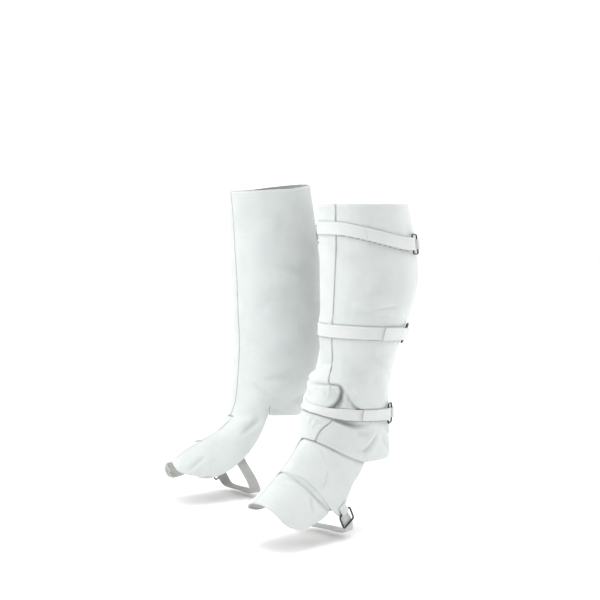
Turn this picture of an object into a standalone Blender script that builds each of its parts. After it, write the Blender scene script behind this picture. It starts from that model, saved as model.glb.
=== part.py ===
"""A pair of tall leather leg spats, as worn: two open tubes with foot flaps, straps and wire buckles.

All tables and functions work in millimetres in the frame of one leg: f runs forward from the ankle's
axis, l runs sideways away from the other leg, z runs up from the ground. The turn u goes round the leg
in degrees, 0 at the front, 90 at the outer side and -90 at the inner side. The station v counts the
rows of a table from the top edge (0) over the hem (9) to the toe edge (14).
"""
import math
from collections import namedtuple

import bmesh
import bpy
from mathutils import Vector

MM = 0.001

# Leather and wire
WALL = 1.8
STRAP_THICK = 2.0
STRAP_WIDTH = 17.5
WIRE_RADIUS = 1.35

# Clearances: at a butt seam, between lapped leather, under a strap, and under its folded-back tail
SEAM = 0.35
LAP_GAP = 0.9
STRAP_GAP = 0.85
TAIL_GAP = 0.5

# Stance: ankle axes of the pair, toes turned out, and the height of the calf that holds them
STANCE_WIDTH = 270.0
STANCE_STAGGER = 76.0
TOE_OUT = 5.0
CALF_HEIGHT = 360.0

# Stations of the hem, the toe seam and the toe edge, and turns of the flap's middle joint and its sides
HEM = 9
TOE_SEAM = 11
TOE_EDGE = 14
JOINT_TURN = -8.0
SIDE_TURN = 90.0

# Over 1, a section drops faster from the front to its side
ARCH = 1.35

Row = namedtuple("Row", "front_f front_z outer_f outer_z outer_w inner_f inner_z inner_w back_f back_z shift")
Fold = namedtuple("Fold", "turn station length width slope height")
Strap = namedtuple("Strap", "name sewn_turn level_turn front_z buckle_turn buckle_z tail_turn")
Gaiter = namedtuple("Gaiter", "name side rows folds seam opening straps")

LEFT_ROWS = (
    Row(55, 465, -15, 465, 61, -15, 465, 61, -85, 466, 11),
    Row(52, 415, -21, 415, 64.5, -21, 415, 64.5, -98, 415, 13),
    Row(51, 362, -26, 362, 66.5, -26, 362, 66.5, -105, 362, 14),
    Row(50, 322, -21, 322, 62.5, -21, 322, 62.5, -95, 322, 13),
    Row(50, 286, -12, 286, 57.5, -12, 286, 57.5, -78, 286, 10),
    Row(47, 242, -7, 242, 52, -7, 242, 52, -66, 242, 6),
    Row(63, 210, -2, 207, 49, -2, 208, 50, -64, 205, 2),
    Row(82, 184, 2, 174, 48, 2, 176, 49.5, -67, 166, 0),
    Row(90, 167, 9, 140, 48, 10, 144, 48, -74, 132, 0),
    Row(97, 142, 18, 102, 47, 20, 109, 45, -78, 98, 0),
    Row(119, 118, 64, 62, 47.5, 50, 84, 41, 0, 0, 0),
    Row(141, 101, 93, 46, 48.5, 80, 62, 41, 0, 0, 0),
    Row(159, 88, 127, 34, 48, 112, 47, 43, 0, 0, 0),
    Row(174, 77, 155, 30, 46.5, 145, 43, 40, 0, 0, 0),
    Row(192, 67, 176, 37, 43, 168, 48, 34, 0, 0, 0),
)
RIGHT_ROWS = (
    Row(55, 489, -15, 493, 61, -15, 493, 61, -85, 503, 11),
    Row(50, 435, -21, 437, 64.5, -21, 437, 64.5, -98, 438, 13),
    Row(48, 380, -26, 382, 66.5, -26, 382, 66.5, -107, 384, 14),
    Row(48, 340, -24, 340, 64, -24, 340, 64, -109, 341, 12),
    Row(49, 300, -23, 300, 61, -23, 300, 61, -109, 301, 9),
    Row(49, 258, -23, 258, 61, -23, 258, 61, -109, 258, 7),
    Row(52, 216, -18, 216, 58, -18, 216, 58, -101, 215, 4),
    Row(57, 184, -7, 182, 52, -7, 182, 52, -87, 178, 1),
    Row(61, 158, 6, 155, 47.5, 21, 158, 46, -72, 149, 0),
    Row(70, 130, 20, 122, 46, 27, 131, 43, -66, 121, 0),
    Row(101, 108, 63, 64, 47.5, 50, 88, 41, 0, 0, 0),
    Row(131, 97, 93, 46, 48.5, 80, 62, 41, 0, 0, 0),
    Row(155, 87, 127, 35, 48, 112, 47, 42, 0, 0, 0),
    Row(172, 78, 155, 31, 46.5, 145, 42, 40, 0, 0, 0),
    Row(182, 68, 168, 42, 40, 163, 50, 34, 0, 0, 0),
)

# Soft folds: where their middle lies, half length along the fold and half width across it, the slope of
# the fold (0 runs round the leg, positive falls towards the outer side) and how far it stands out.
LEFT_FOLDS = (
    Fold(-28, 5.78, 40, 12, 0, 11.0),
    Fold(-28, 6.3, 40, 8, 0, 5.0),
    Fold(-15, 4.95, 30, 6, 6, -3.0),
    Fold(29, 6.5, 14, 5, 100, -4.5),
    Fold(50, 6.15, 30, 7.5, 36, 5.0),
    Fold(48, 6.85, 22, 5, 12, -3.5),
    Fold(-46, 6.1, 10, 5, 30, -3.0),
    Fold(-22, 7.6, 26, 6, 14, 2.5),
    Fold(106, 8.5, 18, 5, -50, -2.5),
    Fold(116, 3.5, 18, 5, 8, -1.6),
    Fold(60, 1.6, 26, 12, 70, 1.6),
    Fold(10, 10.3, 20, 8, 60, 2.0),
    Fold(-150, 8.3, 24, 6, 20, 3.0),
    Fold(170, 6.9, 30, 7, -12, 3.5),
    Fold(-120, 6.6, 24, 7, 24, 3.0),
)
RIGHT_FOLDS = (
    Fold(-62, 8.9, 16, 6, -42, -3.5),
    Fold(-36, 12.6, 13, 4, -42, -3.0),
    Fold(-60, 5.4, 34, 12, 20, 1.8),
    Fold(-100, 7.4, 30, 9, -18, 2.0),
    Fold(60, 6.8, 28, 8, 14, 3.0),
    Fold(150, 7.3, 26, 7, -10, 2.5),
    Fold(-110, 3.4, 30, 12, 12, -1.6),
    Fold(6, 8.5, 20, 7, 10, -2.5),
)

# The front seam's turn at each tube station, and the straps from sewn end to buckle
LEFT_SEAM = (11, 8, 4, 2, 2, 3, 17, 26, 25, 20)
RIGHT_SEAM = (11, 8, 4, 2, 2, 0, 0, 0, 0, 4)
LEFT_STRAPS = (
    Strap("top", -72, 0, 432, 111, 408, 44),
    Strap("middle", -72, 0, 288, 126, 283, 74),
    Strap("ankle", -72, -47, 185, 124, 166, 72),
)
RIGHT_STRAPS = (
    Strap("top", 50, 60, 450, 192, 419, 140),
    Strap("middle", 50, 60, 302, 178, 296, 128),
    Strap("ankle", 50, 60, 190, 172, 178, 122),
)
LEFT = Gaiter("left", 1, LEFT_ROWS, LEFT_FOLDS, LEFT_SEAM, 133, LEFT_STRAPS)
RIGHT = Gaiter("right", -1, RIGHT_ROWS, RIGHT_FOLDS, RIGHT_SEAM, 196, RIGHT_STRAPS)


def smooth(values, v):
    """The value at station v on a smooth curve through one value for each whole station."""
    last = len(values) - 1
    i = min(int(v), last - 1)
    t = v - i
    before, start = values[max(i - 1, 0)], values[i]
    end, after = values[i + 1], values[min(i + 2, last)]
    bend = (2 * before - 5 * start + 4 * end - after) * t * t + (3 * (start - end) + after - before) * t ** 3
    return start + 0.5 * ((end - before) * t + bend)


def row_at(gaiter, v):
    """The section at station v, kept sharp at the hem, where the tube ends and the foot flap goes on."""
    low, high = (0, HEM + 1) if v <= HEM else (HEM, TOE_EDGE + 1)
    rows = gaiter.rows[low:high]
    return Row(*(smooth([row[k] for row in rows], v - low) for k in range(len(Row._fields))))


def front_length(gaiter, v):
    """How far station v lies down the front from the top edge."""
    whole = int(v)
    steps = list(range(whole + 1)) + [v]
    rows = [row_at(gaiter, step) for step in steps]
    return sum(math.hypot(a.front_f - b.front_f, a.front_z - b.front_z) for a, b in zip(rows, rows[1:]))


def plain_point(gaiter, turn, v):
    """A point (l, -f, z) of the leather's outer face without its folds."""
    row = row_at(gaiter, v)
    below = max(abs(turn) - SIDE_TURN, 0) if v > HEM else 0
    angle = math.radians(max(-SIDE_TURN, min(SIDE_TURN, turn)) if v > HEM else turn)
    across, along = math.sin(angle), math.cos(angle)
    along = 0.0 if abs(along) < 1e-9 else along
    if across >= 0:
        side_f, side_z, width = row.outer_f, row.outer_z, row.outer_w
    else:
        side_f, side_z, width = row.inner_f, row.inner_z, row.inner_w
    far_f = row.front_f - side_f if along >= 0 else side_f - row.back_f
    far_z = row.front_z - side_z if along >= 0 else side_z - row.back_z
    height = side_z + far_z * (along ** ARCH if along >= 0 else along)
    if v > HEM:
        return Vector((width * across, -(side_f + far_f * along), height - below))
    return Vector((row.shift + width * across, -(side_f + far_f * along), height))


def fold_height(gaiter, turn, v, length):
    """How far the folds push the leather out at a point, taking one degree round the leg as one mm."""
    height = 0.0
    for fold, centre in zip(gaiter.folds, fold_centres[gaiter.name]):
        away = (turn - fold.turn + 180) % 360 - 180
        down = length - centre
        slope = math.radians(fold.slope)
        lengthwise = away * math.cos(slope) + down * math.sin(slope)
        crosswise = down * math.cos(slope) - away * math.sin(slope)
        height += fold.height * math.exp(-(lengthwise / fold.length) ** 2 - (crosswise / fold.width) ** 2)
    return height


def smoothstep(t):
    t = max(0.0, min(1.0, t))
    return t * t * (3 - 2 * t)


def strap_height(strap, turn):
    """The height of the strap's middle line at this turn."""
    share = (turn - strap.level_turn) / (strap.buckle_turn - strap.level_turn)
    return strap.front_z + (strap.buckle_z - strap.front_z) * smoothstep(share)


# A strap takes out this share of a fold, from before its sewn end to beyond its buckle, and up and down
# by this share of its width
PRESS_SHARE = 0.9
PRESS_BEFORE = 6
PRESS_BEYOND = 12
PRESS_REACH = 0.7


def pressed_flat(gaiter, turn, z):
    """How much of a fold is left at this height, because each strap presses the leather flat."""
    turn = (turn + 90) % 360 - 90
    left = 1.0
    for strap in gaiter.straps:
        if strap.sewn_turn - PRESS_BEFORE < turn < strap.buckle_turn + PRESS_BEYOND:
            away = (z - strap_height(strap, turn)) / (PRESS_REACH * STRAP_WIDTH)
            left *= 1 - PRESS_SHARE * math.exp(-away * away)
    return left


def surface(gaiter, turn, v, out=0.0):
    """The point that lies out mm outside the leather at this turn and station, and its outward normal."""
    step = 0.02
    up = v - step if v - step > (0 if v <= HEM else HEM + 1e-6) else v
    down = v + step if v + step < (HEM if v <= HEM else TOE_EDGE) else v
    point = plain_point(gaiter, turn, v)
    round_leg = plain_point(gaiter, turn + 1, v) - plain_point(gaiter, turn - 1, v)
    if v > HEM and turn >= SIDE_TURN - 1:
        round_leg = plain_point(gaiter, turn, v) - plain_point(gaiter, turn - 2, v)
    if v > HEM and turn <= 1 - SIDE_TURN:
        round_leg = plain_point(gaiter, turn + 2, v) - plain_point(gaiter, turn, v)
    down_leg = plain_point(gaiter, turn, down) - plain_point(gaiter, turn, up)
    normal = down_leg.cross(round_leg).normalized()
    folds = fold_height(gaiter, turn, v, front_length(gaiter, v))
    if v <= HEM:
        folds *= pressed_flat(gaiter, turn, point.z)
    return point + normal * (folds + out), normal


def knot(table, v):
    """Straight steps between the (station, value) pairs of a short table."""
    if v <= table[0][0]:
        return table[0][1]
    for (v0, a), (v1, b) in zip(table, table[1:]):
        if v <= v1:
            return a + (b - a) * (v - v0) / (v1 - v0)
    return table[-1][1]


def station_of(gaiter, turn, z):
    """The tube station at height z on this turn."""
    low, high = 0.0, float(HEM)
    for _ in range(30):
        middle = 0.5 * (low + high)
        if plain_point(gaiter, turn, middle).z > z:
            low = middle
        else:
            high = middle
    return 0.5 * (low + high)


def new_object(name, bm, gaiter, slot):
    """Turns a mesh in millimetres into an object on its leg, with its faces outwards."""
    bmesh.ops.remove_doubles(bm, verts=bm.verts, dist=0.01)
    bmesh.ops.scale(bm, verts=bm.verts, vec=(gaiter.side * MM, MM, MM))
    bmesh.ops.recalc_face_normals(bm, faces=bm.faces)
    mesh = bpy.data.meshes.new(name)
    bm.to_mesh(mesh)
    bm.free()
    mesh.shade_smooth()
    mesh.set_sharp_from_angle(angle=math.radians(40))
    mesh.materials.append(materials[slot])
    obj = bpy.data.objects.new(f"{gaiter.name}_{name}", mesh)
    bpy.context.scene.collection.objects.link(obj)
    obj.parent = legs[gaiter.name]
    return obj


def wall(name, gaiter, turns, stations, depth=None, keep=None, slot="white_leather"):
    """A leather wall over a grid: turns gives each column's turn at a station, keep picks its cells."""
    bm = bmesh.new()
    row_count, column_count = len(stations), len(turns(stations[0]))
    faces = ([], [])
    for side, inset in enumerate((0.0, WALL)):
        for v in stations:
            line = []
            for turn in turns(v):
                sunk = depth(turn, v) if depth else 0.0
                point, _ = surface(gaiter, turn, v, -sunk - inset)
                line.append(bm.verts.new(point))
            faces[side].append(line)
    cells = {(i, j) for i in range(row_count - 1) for j in range(column_count - 1)
             if not keep or keep(i, j)}
    outer, inner = faces
    for i, j in cells:
        corners = ((i, j), (i, j + 1), (i + 1, j + 1), (i + 1, j))
        bm.faces.new([outer[a][b] for a, b in corners])
        bm.faces.new([inner[a][b] for a, b in reversed(corners)])
        for (a, b), (c, d), beyond in zip(
            corners, corners[1:] + corners[:1], ((i - 1, j), (i, j + 1), (i + 1, j), (i, j - 1))
        ):
            if beyond not in cells:
                bm.faces.new([outer[c][d], outer[a][b], inner[a][b], inner[c][d]])
    bmesh.ops.delete(bm, geom=[vert for vert in bm.verts if not vert.link_faces], context="VERTS")
    return new_object(name, bm, gaiter, slot)


def spread(start, end, count):
    return [start + (end - start) * k / count for k in range(count + 1)]


TUBE_STATIONS = (
    spread(0, 3, 7) + spread(3, 5, 5)[1:] + [5.35, 5.6, 5.8, 6.0, 6.2, 6.4, 6.65]
    + [6.9, 7.2, 7.6, 8.0, 8.4, HEM]
)
FLAP_STATIONS = [9.3, 9.65, 10, 10.5, 11, 11.5, 12, 12.5, 13, 13.5, TOE_EDGE]
COLUMN_ANGLE = 12.5
FRONT_COLUMNS = 3
FLAP_COLUMNS = 7
BAND_COLUMNS = 9

# The opening's lap: how far the inner panel runs on under the outer one, its step, and how deep it lies
LAP_STEP = 6.0
LAP_TURN = 13.0
LAP_SINK_START = 16.0
LAP_DEPTH = WALL + LAP_GAP
TUCK = 0.32
SLIT_STATION = 8.4
SLIT_HALF_TURN = 0.7

# The rounded corner of the toe edge, (station, turn)
CORNER = ((13.0, 90), (13.5, 88), (TOE_EDGE, 76))


def seam_turn(gaiter, v):
    return knot(list(enumerate(gaiter.seam)), v)


def outer_panel(gaiter):
    count = round((gaiter.opening - gaiter.seam[0]) / COLUMN_ANGLE)

    def turns(v):
        return spread(seam_turn(gaiter, v) + SEAM / 2, gaiter.opening, count)

    wall("outer_panel", gaiter, turns, TUBE_STATIONS)


def inner_panel(gaiter):
    """Tube columns run from the front seam over the joint, the inner side and the back to the opening."""
    end = gaiter.opening - 360
    flap_end = FRONT_COLUMNS + FLAP_COLUMNS
    back = round((-SIDE_TURN - end) / COLUMN_ANGLE)
    lap = (end - LAP_STEP, end - LAP_TURN)

    def turns(v):
        start = seam_turn(gaiter, min(v, HEM)) - SEAM / 2
        joint = JOINT_TURN - SEAM / 2
        edge = -SIDE_TURN + SLIT_HALF_TURN
        if v > HEM:
            edge = -knot(CORNER, v)
        columns = spread(start, joint, FRONT_COLUMNS)[:-1] + spread(joint, edge, FLAP_COLUMNS)
        slit = -SIDE_TURN - SLIT_HALF_TURN
        return columns + spread(slit, end, back) + list(lap)

    def depth(turn, v):
        return LAP_DEPTH * smoothstep((end + LAP_SINK_START - turn) / LAP_TURN)

    hem_row = len(TUBE_STATIONS) - 1
    slit_row = TUBE_STATIONS.index(SLIT_STATION)

    def keep(i, j):
        if i >= hem_row:
            return FRONT_COLUMNS <= j < flap_end
        return not (j == flap_end and i >= slit_row)

    wall("inner_panel", gaiter, turns, TUBE_STATIONS + FLAP_STATIONS, depth, keep)


def flap_depth(seam_station):
    """How deep a piece lies that tucks under its upper neighbour at a seam."""

    def depth(turn, v):
        return LAP_DEPTH * smoothstep((seam_station + TUCK - v) / TUCK)

    return depth


# The instep band's outer edge, (station, turn): a tab hangs below it that ends in the buckle's loop
TAB = ((9.75, 90), (9.93, 100), (9.97, 102), (10.47, 106), (10.6, 103), (10.88, 92), (TOE_SEAM, 90))
TAB_STEP = 0.2


def instep_band(gaiter):
    stations = [8.85, 8.96, 9.08, 9.2, 9.4, 9.6, 9.75, 9.97, 10.2, 10.47, 10.6, 10.88, TOE_SEAM - 0.006]

    def turns(v):
        edge = knot(TAB, v) + TAB_STEP
        return spread(JOINT_TURN + SEAM / 2, SIDE_TURN, BAND_COLUMNS)[:-1] + [SIDE_TURN - TAB_STEP, edge]

    return wall("instep_band", gaiter, turns, stations, flap_depth(HEM))


def toe_piece(gaiter):
    stations = [10.78, 10.92, 11.05, 11.2, 11.5, 12, 12.5, 13, 13.5, TOE_EDGE]

    def turns(v):
        edge = SIDE_TURN - 2 if v < TOE_SEAM + 0.1 else SIDE_TURN
        return spread(JOINT_TURN + SEAM / 2, min(knot(CORNER, v), edge), BAND_COLUMNS)

    wall("toe_piece", gaiter, turns, stations, flap_depth(TOE_SEAM))


# A strap's buckle: its length along the strap, its height across it, and the bend at its corners
FRAME_LENGTH = 20.0
FRAME_HEIGHT = 28.0
BEND = 3.0
BAR_INSIDE = WIRE_RADIUS + 0.3
BAR_OUT = STRAP_GAP + STRAP_THICK + BAR_INSIDE
CHAPE_WIDTH = 14.0
# Degrees round the leg: a ribbon's step, where a folded-back end lands, and a chape's two lengths
RIBBON_TURN = 9.0
LANDING_TURN = 18.0
CHAPE_TURN = 26.0
CHAPE_TAIL = 15.0


def mm_per_turn(gaiter, turn, v):
    return (plain_point(gaiter, turn + 1, v) - plain_point(gaiter, turn - 1, v)).length / 2


Buckle = namedtuple("Buckle", "front_turn rear_turn front rear along across out")


def buckle_place(gaiter, strap):
    """Where the buckle's two bars stand, and the directions along, across and out of its frame."""
    v = station_of(gaiter, strap.buckle_turn, strap.buckle_z)
    half = (FRAME_LENGTH / 2 - WIRE_RADIUS) / mm_per_turn(gaiter, strap.buckle_turn, v)
    turns = (strap.buckle_turn - half, strap.buckle_turn + half)
    bars = []
    for turn in turns:
        bars.append(surface(gaiter, turn, station_of(gaiter, turn, strap_height(strap, turn)), BAR_OUT)[0])
    along = (bars[1] - bars[0]).normalized()
    normal = surface(gaiter, strap.buckle_turn, v)[1]
    across = normal.cross(along).normalized()
    if across.z < 0:
        across = -across
    out = (normal - along * normal.dot(along)).normalized()
    return Buckle(*turns, *bars, along, across, out)


def folded_ribbon(name, gaiter, strap, buckle, sewn_turn, tail_turn, width, slot):
    """A strap that runs on the leather to a buckle's bar, turns round it and lies back on itself."""
    to_rear = sewn_turn > buckle.rear_turn
    bar_turn, bar = (buckle.rear_turn, buckle.rear) if to_rear else (buckle.front_turn, buckle.front)
    along = -buckle.along if to_rear else buckle.along
    bm = bmesh.new()
    sections = []

    def section(point_of):
        """Six corners: one face of the ribbon from its lower to its upper edge, and back on the other."""
        corners = [point_of(edge * width / 2, 0) for edge in (-1, 0, 1)]
        corners += [point_of(edge * width / 2, 1) for edge in (1, 0, -1)]
        sections.append([bm.verts.new(corner) for corner in corners])

    def on_leather(turn, faces):
        def point_of(offset, face):
            v = station_of(gaiter, turn, strap_height(strap, turn) + offset)
            return surface(gaiter, turn, v, faces[face])[0]

        section(point_of)

    lower = BAR_OUT - BAR_INSIDE
    for turn in spread(sewn_turn, bar_turn, max(4, round(abs(bar_turn - sewn_turn) / RIBBON_TURN)))[:-1]:
        on_leather(turn, (lower, lower - STRAP_THICK))
    for step in range(7):
        angle = math.radians(-90 + 30 * step)
        way = along * math.cos(angle) + buckle.out * math.sin(angle)
        radii = (BAR_INSIDE, BAR_INSIDE + STRAP_THICK)
        section(lambda offset, face, way=way: bar + buckle.across * offset + way * radii[face])
    rest = lower + TAIL_GAP
    for turn in spread(bar_turn, tail_turn, max(3, round(abs(bar_turn - tail_turn) / RIBBON_TURN)))[1:]:
        lift = (BAR_OUT + BAR_INSIDE - rest) * (1 - smoothstep(abs(turn - bar_turn) / LANDING_TURN))
        on_leather(turn, (rest + lift, rest + lift + STRAP_THICK))
    sweep_faces(bm, sections)
    return new_object(name, bm, gaiter, slot)


def sweep_faces(bm, sections):
    """Sides between the closed sections of a sweep, and a cap on each end."""
    for a, b in zip(sections, sections[1:]):
        for k in range(len(a)):
            after = (k + 1) % len(a)
            bm.faces.new([a[k], a[after], b[after], b[k]])
    bm.faces.new(sections[0][::-1])
    bm.faces.new(sections[-1])


def wire_frame(name, gaiter, centre, along, across, length, height):
    """A closed rectangle of round wire with rounded corners, as a bevelled curve."""
    points = []
    for a, b, start in ((1, 1, 0), (-1, 1, 90), (-1, -1, 180), (1, -1, 270)):
        middle = centre + along * a * (length / 2 - BEND) + across * b * (height / 2 - BEND)
        for step in range(4):
            angle = math.radians(start + 30 * step)
            points.append(middle + BEND * (along * math.cos(angle) + across * math.sin(angle)))
    curve = bpy.data.curves.new(name, "CURVE")
    curve.dimensions = "3D"
    curve.bevel_depth = WIRE_RADIUS * MM
    curve.bevel_resolution = 1
    spline = curve.splines.new("POLY")
    spline.points.add(len(points) - 1)
    for spot, point in zip(spline.points, points):
        spot.co = (gaiter.side * point.x * MM, point.y * MM, point.z * MM, 1)
    spline.use_cyclic_u = True
    curve.materials.append(materials["black_wire"])
    obj = bpy.data.objects.new(f"{gaiter.name}_{name}", curve)
    bpy.context.scene.collection.objects.link(obj)
    obj.parent = legs[gaiter.name]
    return obj


def strap_set(gaiter, strap):
    """One strap with its buckle and the chape that holds the buckle."""
    buckle = buckle_place(gaiter, strap)
    folded_ribbon(f"strap_{strap.name}", gaiter, strap, buckle, strap.sewn_turn, strap.tail_turn,
                  STRAP_WIDTH, "strap_leather")
    folded_ribbon(f"chape_{strap.name}", gaiter, strap, buckle, buckle.rear_turn + CHAPE_TURN,
                  buckle.rear_turn + CHAPE_TAIL, CHAPE_WIDTH, "strap_leather")
    wire_frame(f"buckle_{strap.name}", gaiter, (buckle.front + buckle.rear) / 2, buckle.along,
               buckle.across, (buckle.rear - buckle.front).length, FRAME_HEIGHT)


def swept_strap(name, gaiter, route, across, width, thick, slot):
    """A flat strap along a route of points, its width as near as it can be to one direction."""
    bm = bmesh.new()
    sections = []
    for k, point in enumerate(route):
        way = (route[min(k + 1, len(route) - 1)] - route[max(k - 1, 0)]).normalized()
        wide = (across - way * across.dot(way)).normalized() * width / 2
        out = way.cross(wide).normalized() * thick / 2
        corners = (point - wide - out, point + wide - out, point + wide + out, point - wide + out)
        sections.append([bm.verts.new(corner) for corner in corners])
    sweep_faces(bm, sections)
    return new_object(name, bm, gaiter, slot)


# The strap under the foot: forward, sideways and up, from inside the inner edge to behind the tab
FOOT_ROUTE = (
    (82, -32.5, 76), (79, -35.5, 67), (74, -39.5, 55), (68, -44, 42), (61, -46.5, 28), (55, -44.5, 15.5),
    (50, -36, 9),
    (47, -20, 7.5), (46, 0, 7.5), (47, 20, 7.5), (50, 38, 9), (53, 43.5, 16), (58, 45.2, 25),
    (64, 44.8, 34), (69, 44, 43), (73, 43.2, 52),
)
FOOT_STRAP_WIDTH = 17.0
TOP_BAR = Vector((49.0, -68.2, 40.8))
BOTTOM_BAR = Vector((48.2, -57.8, 23.2))
FOOT_FRAME_WIDTH = 24.0
LOOP_WIDTH = 14.0
LOOP_THICK = 1.6


def underfoot(gaiter, band):
    """The strap under the arch, its buckle, and the band's tab turned round the buckle's top bar."""
    count = len(FOOT_ROUTE) - 1
    route = []
    for step in range(2 * count + 1):
        f, l, z = (smooth([point[k] for point in FOOT_ROUTE], step / 2) for k in range(3))
        route.append(Vector((l, -f, z)))
    forward = Vector((0, -1, 0))
    swept_strap("underfoot_strap", gaiter, route, forward, FOOT_STRAP_WIDTH, STRAP_THICK, "strap_leather")
    down = (BOTTOM_BAR - TOP_BAR).normalized()
    out = Vector((1, 0, 0))
    out = (out - down * out.dot(down)).normalized()
    across = down.cross(out)
    wire_frame("underfoot_buckle", gaiter, (TOP_BAR + BOTTOM_BAR) / 2, down, across,
               (BOTTOM_BAR - TOP_BAR).length, FOOT_FRAME_WIDTH)
    radius = BAR_INSIDE + LOOP_THICK / 2
    path = [(-0.6, -radius)]
    for step in range(7):
        angle = math.radians(-90 + 30 * step)
        path.append((radius * math.cos(angle), radius * math.sin(angle)))
    path += [(-3.5, 2.1), (-7, 0.8), (-11, -0.8)]
    loop = [TOP_BAR + down * a + out * b for a, b in path]
    turned_end = swept_strap("tab_end", gaiter, loop, across, LOOP_WIDTH, LOOP_THICK, "white_leather")
    turned_end.hide_render = True
    turned_end.display_type = "WIRE"
    joined = band.modifiers.new("turned tab end", "BOOLEAN")
    joined.operation = "UNION"
    joined.object = turned_end


def make_material(name, colour, roughness, metallic=0.0):
    material = bpy.data.materials.new(name)
    material.use_nodes = True
    shader = material.node_tree.nodes["Principled BSDF"]
    shader.inputs["Base Color"].default_value = (*colour, 1)
    shader.inputs["Roughness"].default_value = roughness
    shader.inputs["Metallic"].default_value = metallic
    return material


def make_leg(gaiter):
    """An empty on the ankle's axis at ground level, turned as the foot is."""
    empty = bpy.data.objects.new(f"{gaiter.name}_leg", None)
    empty.location = (gaiter.side * STANCE_WIDTH / 2 * MM, -gaiter.side * STANCE_STAGGER / 2 * MM,
                      -CALF_HEIGHT * MM)
    empty.rotation_euler = (0, 0, gaiter.side * math.radians(TOE_OUT))
    bpy.context.scene.collection.objects.link(empty)
    return empty


def make_gaiter(gaiter):
    outer_panel(gaiter)
    inner_panel(gaiter)
    band = instep_band(gaiter)
    toe_piece(gaiter)
    for strap in gaiter.straps:
        strap_set(gaiter, strap)
    underfoot(gaiter, band)


for old in list(bpy.data.objects):
    bpy.data.objects.remove(old, do_unlink=True)
materials = {
    "white_leather": make_material("white_leather", (0.80, 0.82, 0.81), 0.8),
    "strap_leather": make_material("strap_leather", (0.84, 0.84, 0.82), 0.6),
    "black_wire": make_material("black_wire", (0.02, 0.02, 0.022), 0.35, 0.6),
}
pair = (LEFT, RIGHT)
fold_centres = {g.name: [front_length(g, fold.station) for fold in g.folds] for g in pair}
legs = {g.name: make_leg(g) for g in pair}
for each in pair:
    make_gaiter(each)
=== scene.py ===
# %% [markdown]
# # A worn pair of tall leather spats
# Each spat is a tube of split leather round the shin with a flap over the shoe. Three straps with black
# wire buckles close it, and a fourth strap runs under the foot. The solids that carry its real sizes are
# loaded first, so that every piece made here starts from its size and place. Folds, colours and lamps are
# then set for one view, and the other sides follow from that.
# %% Load the measured solids
import math
from collections import namedtuple

import bmesh
import bpy
import numpy as np
from mathutils import Matrix, Vector, noise
from mathutils.bvhtree import BVHTree
from mathutils.kdtree import KDTree


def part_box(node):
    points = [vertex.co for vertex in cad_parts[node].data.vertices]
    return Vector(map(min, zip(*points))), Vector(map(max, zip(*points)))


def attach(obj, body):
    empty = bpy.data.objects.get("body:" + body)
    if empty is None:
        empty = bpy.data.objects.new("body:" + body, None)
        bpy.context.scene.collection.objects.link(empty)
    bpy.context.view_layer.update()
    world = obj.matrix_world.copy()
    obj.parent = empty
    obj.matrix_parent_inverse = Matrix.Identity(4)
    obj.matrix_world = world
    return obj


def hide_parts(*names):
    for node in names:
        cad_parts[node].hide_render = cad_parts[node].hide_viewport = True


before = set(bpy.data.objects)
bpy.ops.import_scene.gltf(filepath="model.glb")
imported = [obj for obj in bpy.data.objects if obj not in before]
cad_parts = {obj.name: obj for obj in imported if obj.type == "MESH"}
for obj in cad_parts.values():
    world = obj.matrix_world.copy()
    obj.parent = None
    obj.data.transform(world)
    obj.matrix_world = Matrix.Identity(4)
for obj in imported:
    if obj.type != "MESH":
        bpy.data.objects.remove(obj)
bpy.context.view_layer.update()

MM = 0.001

# %% [markdown]
# ## The camera
# The picture was taken from in front and to the wearer's left, a little above ankle height. A long lens
# far away keeps the tubes upright. The camera is placed before anything else, because every later choice
# of fold and light is judged through it.
# %% Camera
VIEW_TURN = 47.5          # degrees round from the front
VIEW_DOWN = 3.54          # degrees below the horizon
LENS = 75.6
camera = bpy.data.objects.new("camera", bpy.data.cameras.new("camera"))
camera.data.lens = LENS
camera.location = (1.4139, -1.3067, 0.08)
camera.rotation_euler = (math.radians(90 - VIEW_DOWN), 0, math.radians(VIEW_TURN))
bpy.context.scene.collection.objects.link(camera)
bpy.context.scene.camera = camera
print("camera", VIEW_TURN, "degrees round, lens", LENS)

# %% [markdown]
# ## Floor and light
# A high-key studio has a white sweep and large soft lamps. A pale floor with a white surround gives the
# same. A wide key lamp on the left and a wide one overhead turn the tubes round, and a small lamp behind on
# the right lights the near spat's right edge. A darker part of the room and a black card grey the rest.
# %% Floor, surround and lamps
GROUND = -0.360
FLOOR_REACH = 14


def plain_material(name, colour, roughness):
    """A material of one colour."""
    material = bpy.data.materials.new(name)
    material.use_nodes = True
    shader = material.node_tree.nodes["Principled BSDF"]
    shader.inputs["Base Color"].default_value = (*colour, 1)
    shader.inputs["Roughness"].default_value = roughness
    return material


def link_mesh(name, bm):
    """A new object of the scene with this mesh."""
    mesh = bpy.data.meshes.new(name)
    bm.to_mesh(mesh)
    bm.free()
    obj = bpy.data.objects.new(name, mesh)
    bpy.context.scene.collection.objects.link(obj)
    return obj


bm = bmesh.new()
bmesh.ops.create_circle(bm, cap_ends=True, segments=96, radius=FLOOR_REACH)
bmesh.ops.translate(bm, verts=bm.verts, vec=(0, 0, GROUND))
floor = link_mesh("floor", bm)
floor.data.materials.append(plain_material("pale floor", (1.0, 1.0, 1.0), 1.0))


def graph_tools(tree):
    """A short call that adds a node, sets it up and links values into it."""

    def node(kind, settings=None, **sockets):
        made = tree.nodes.new(kind)
        for key, value in (settings or {}).items():
            setattr(made, key, value)
        for key, value in sockets.items():
            socket = made.inputs[int(key[1:])] if key[0] == "n" and key[1:].isdigit() else made.inputs[key]
            if isinstance(value, bpy.types.NodeSocket):
                tree.links.new(value, socket)
            else:
                socket.default_value = value
        return made

    return node


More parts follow.
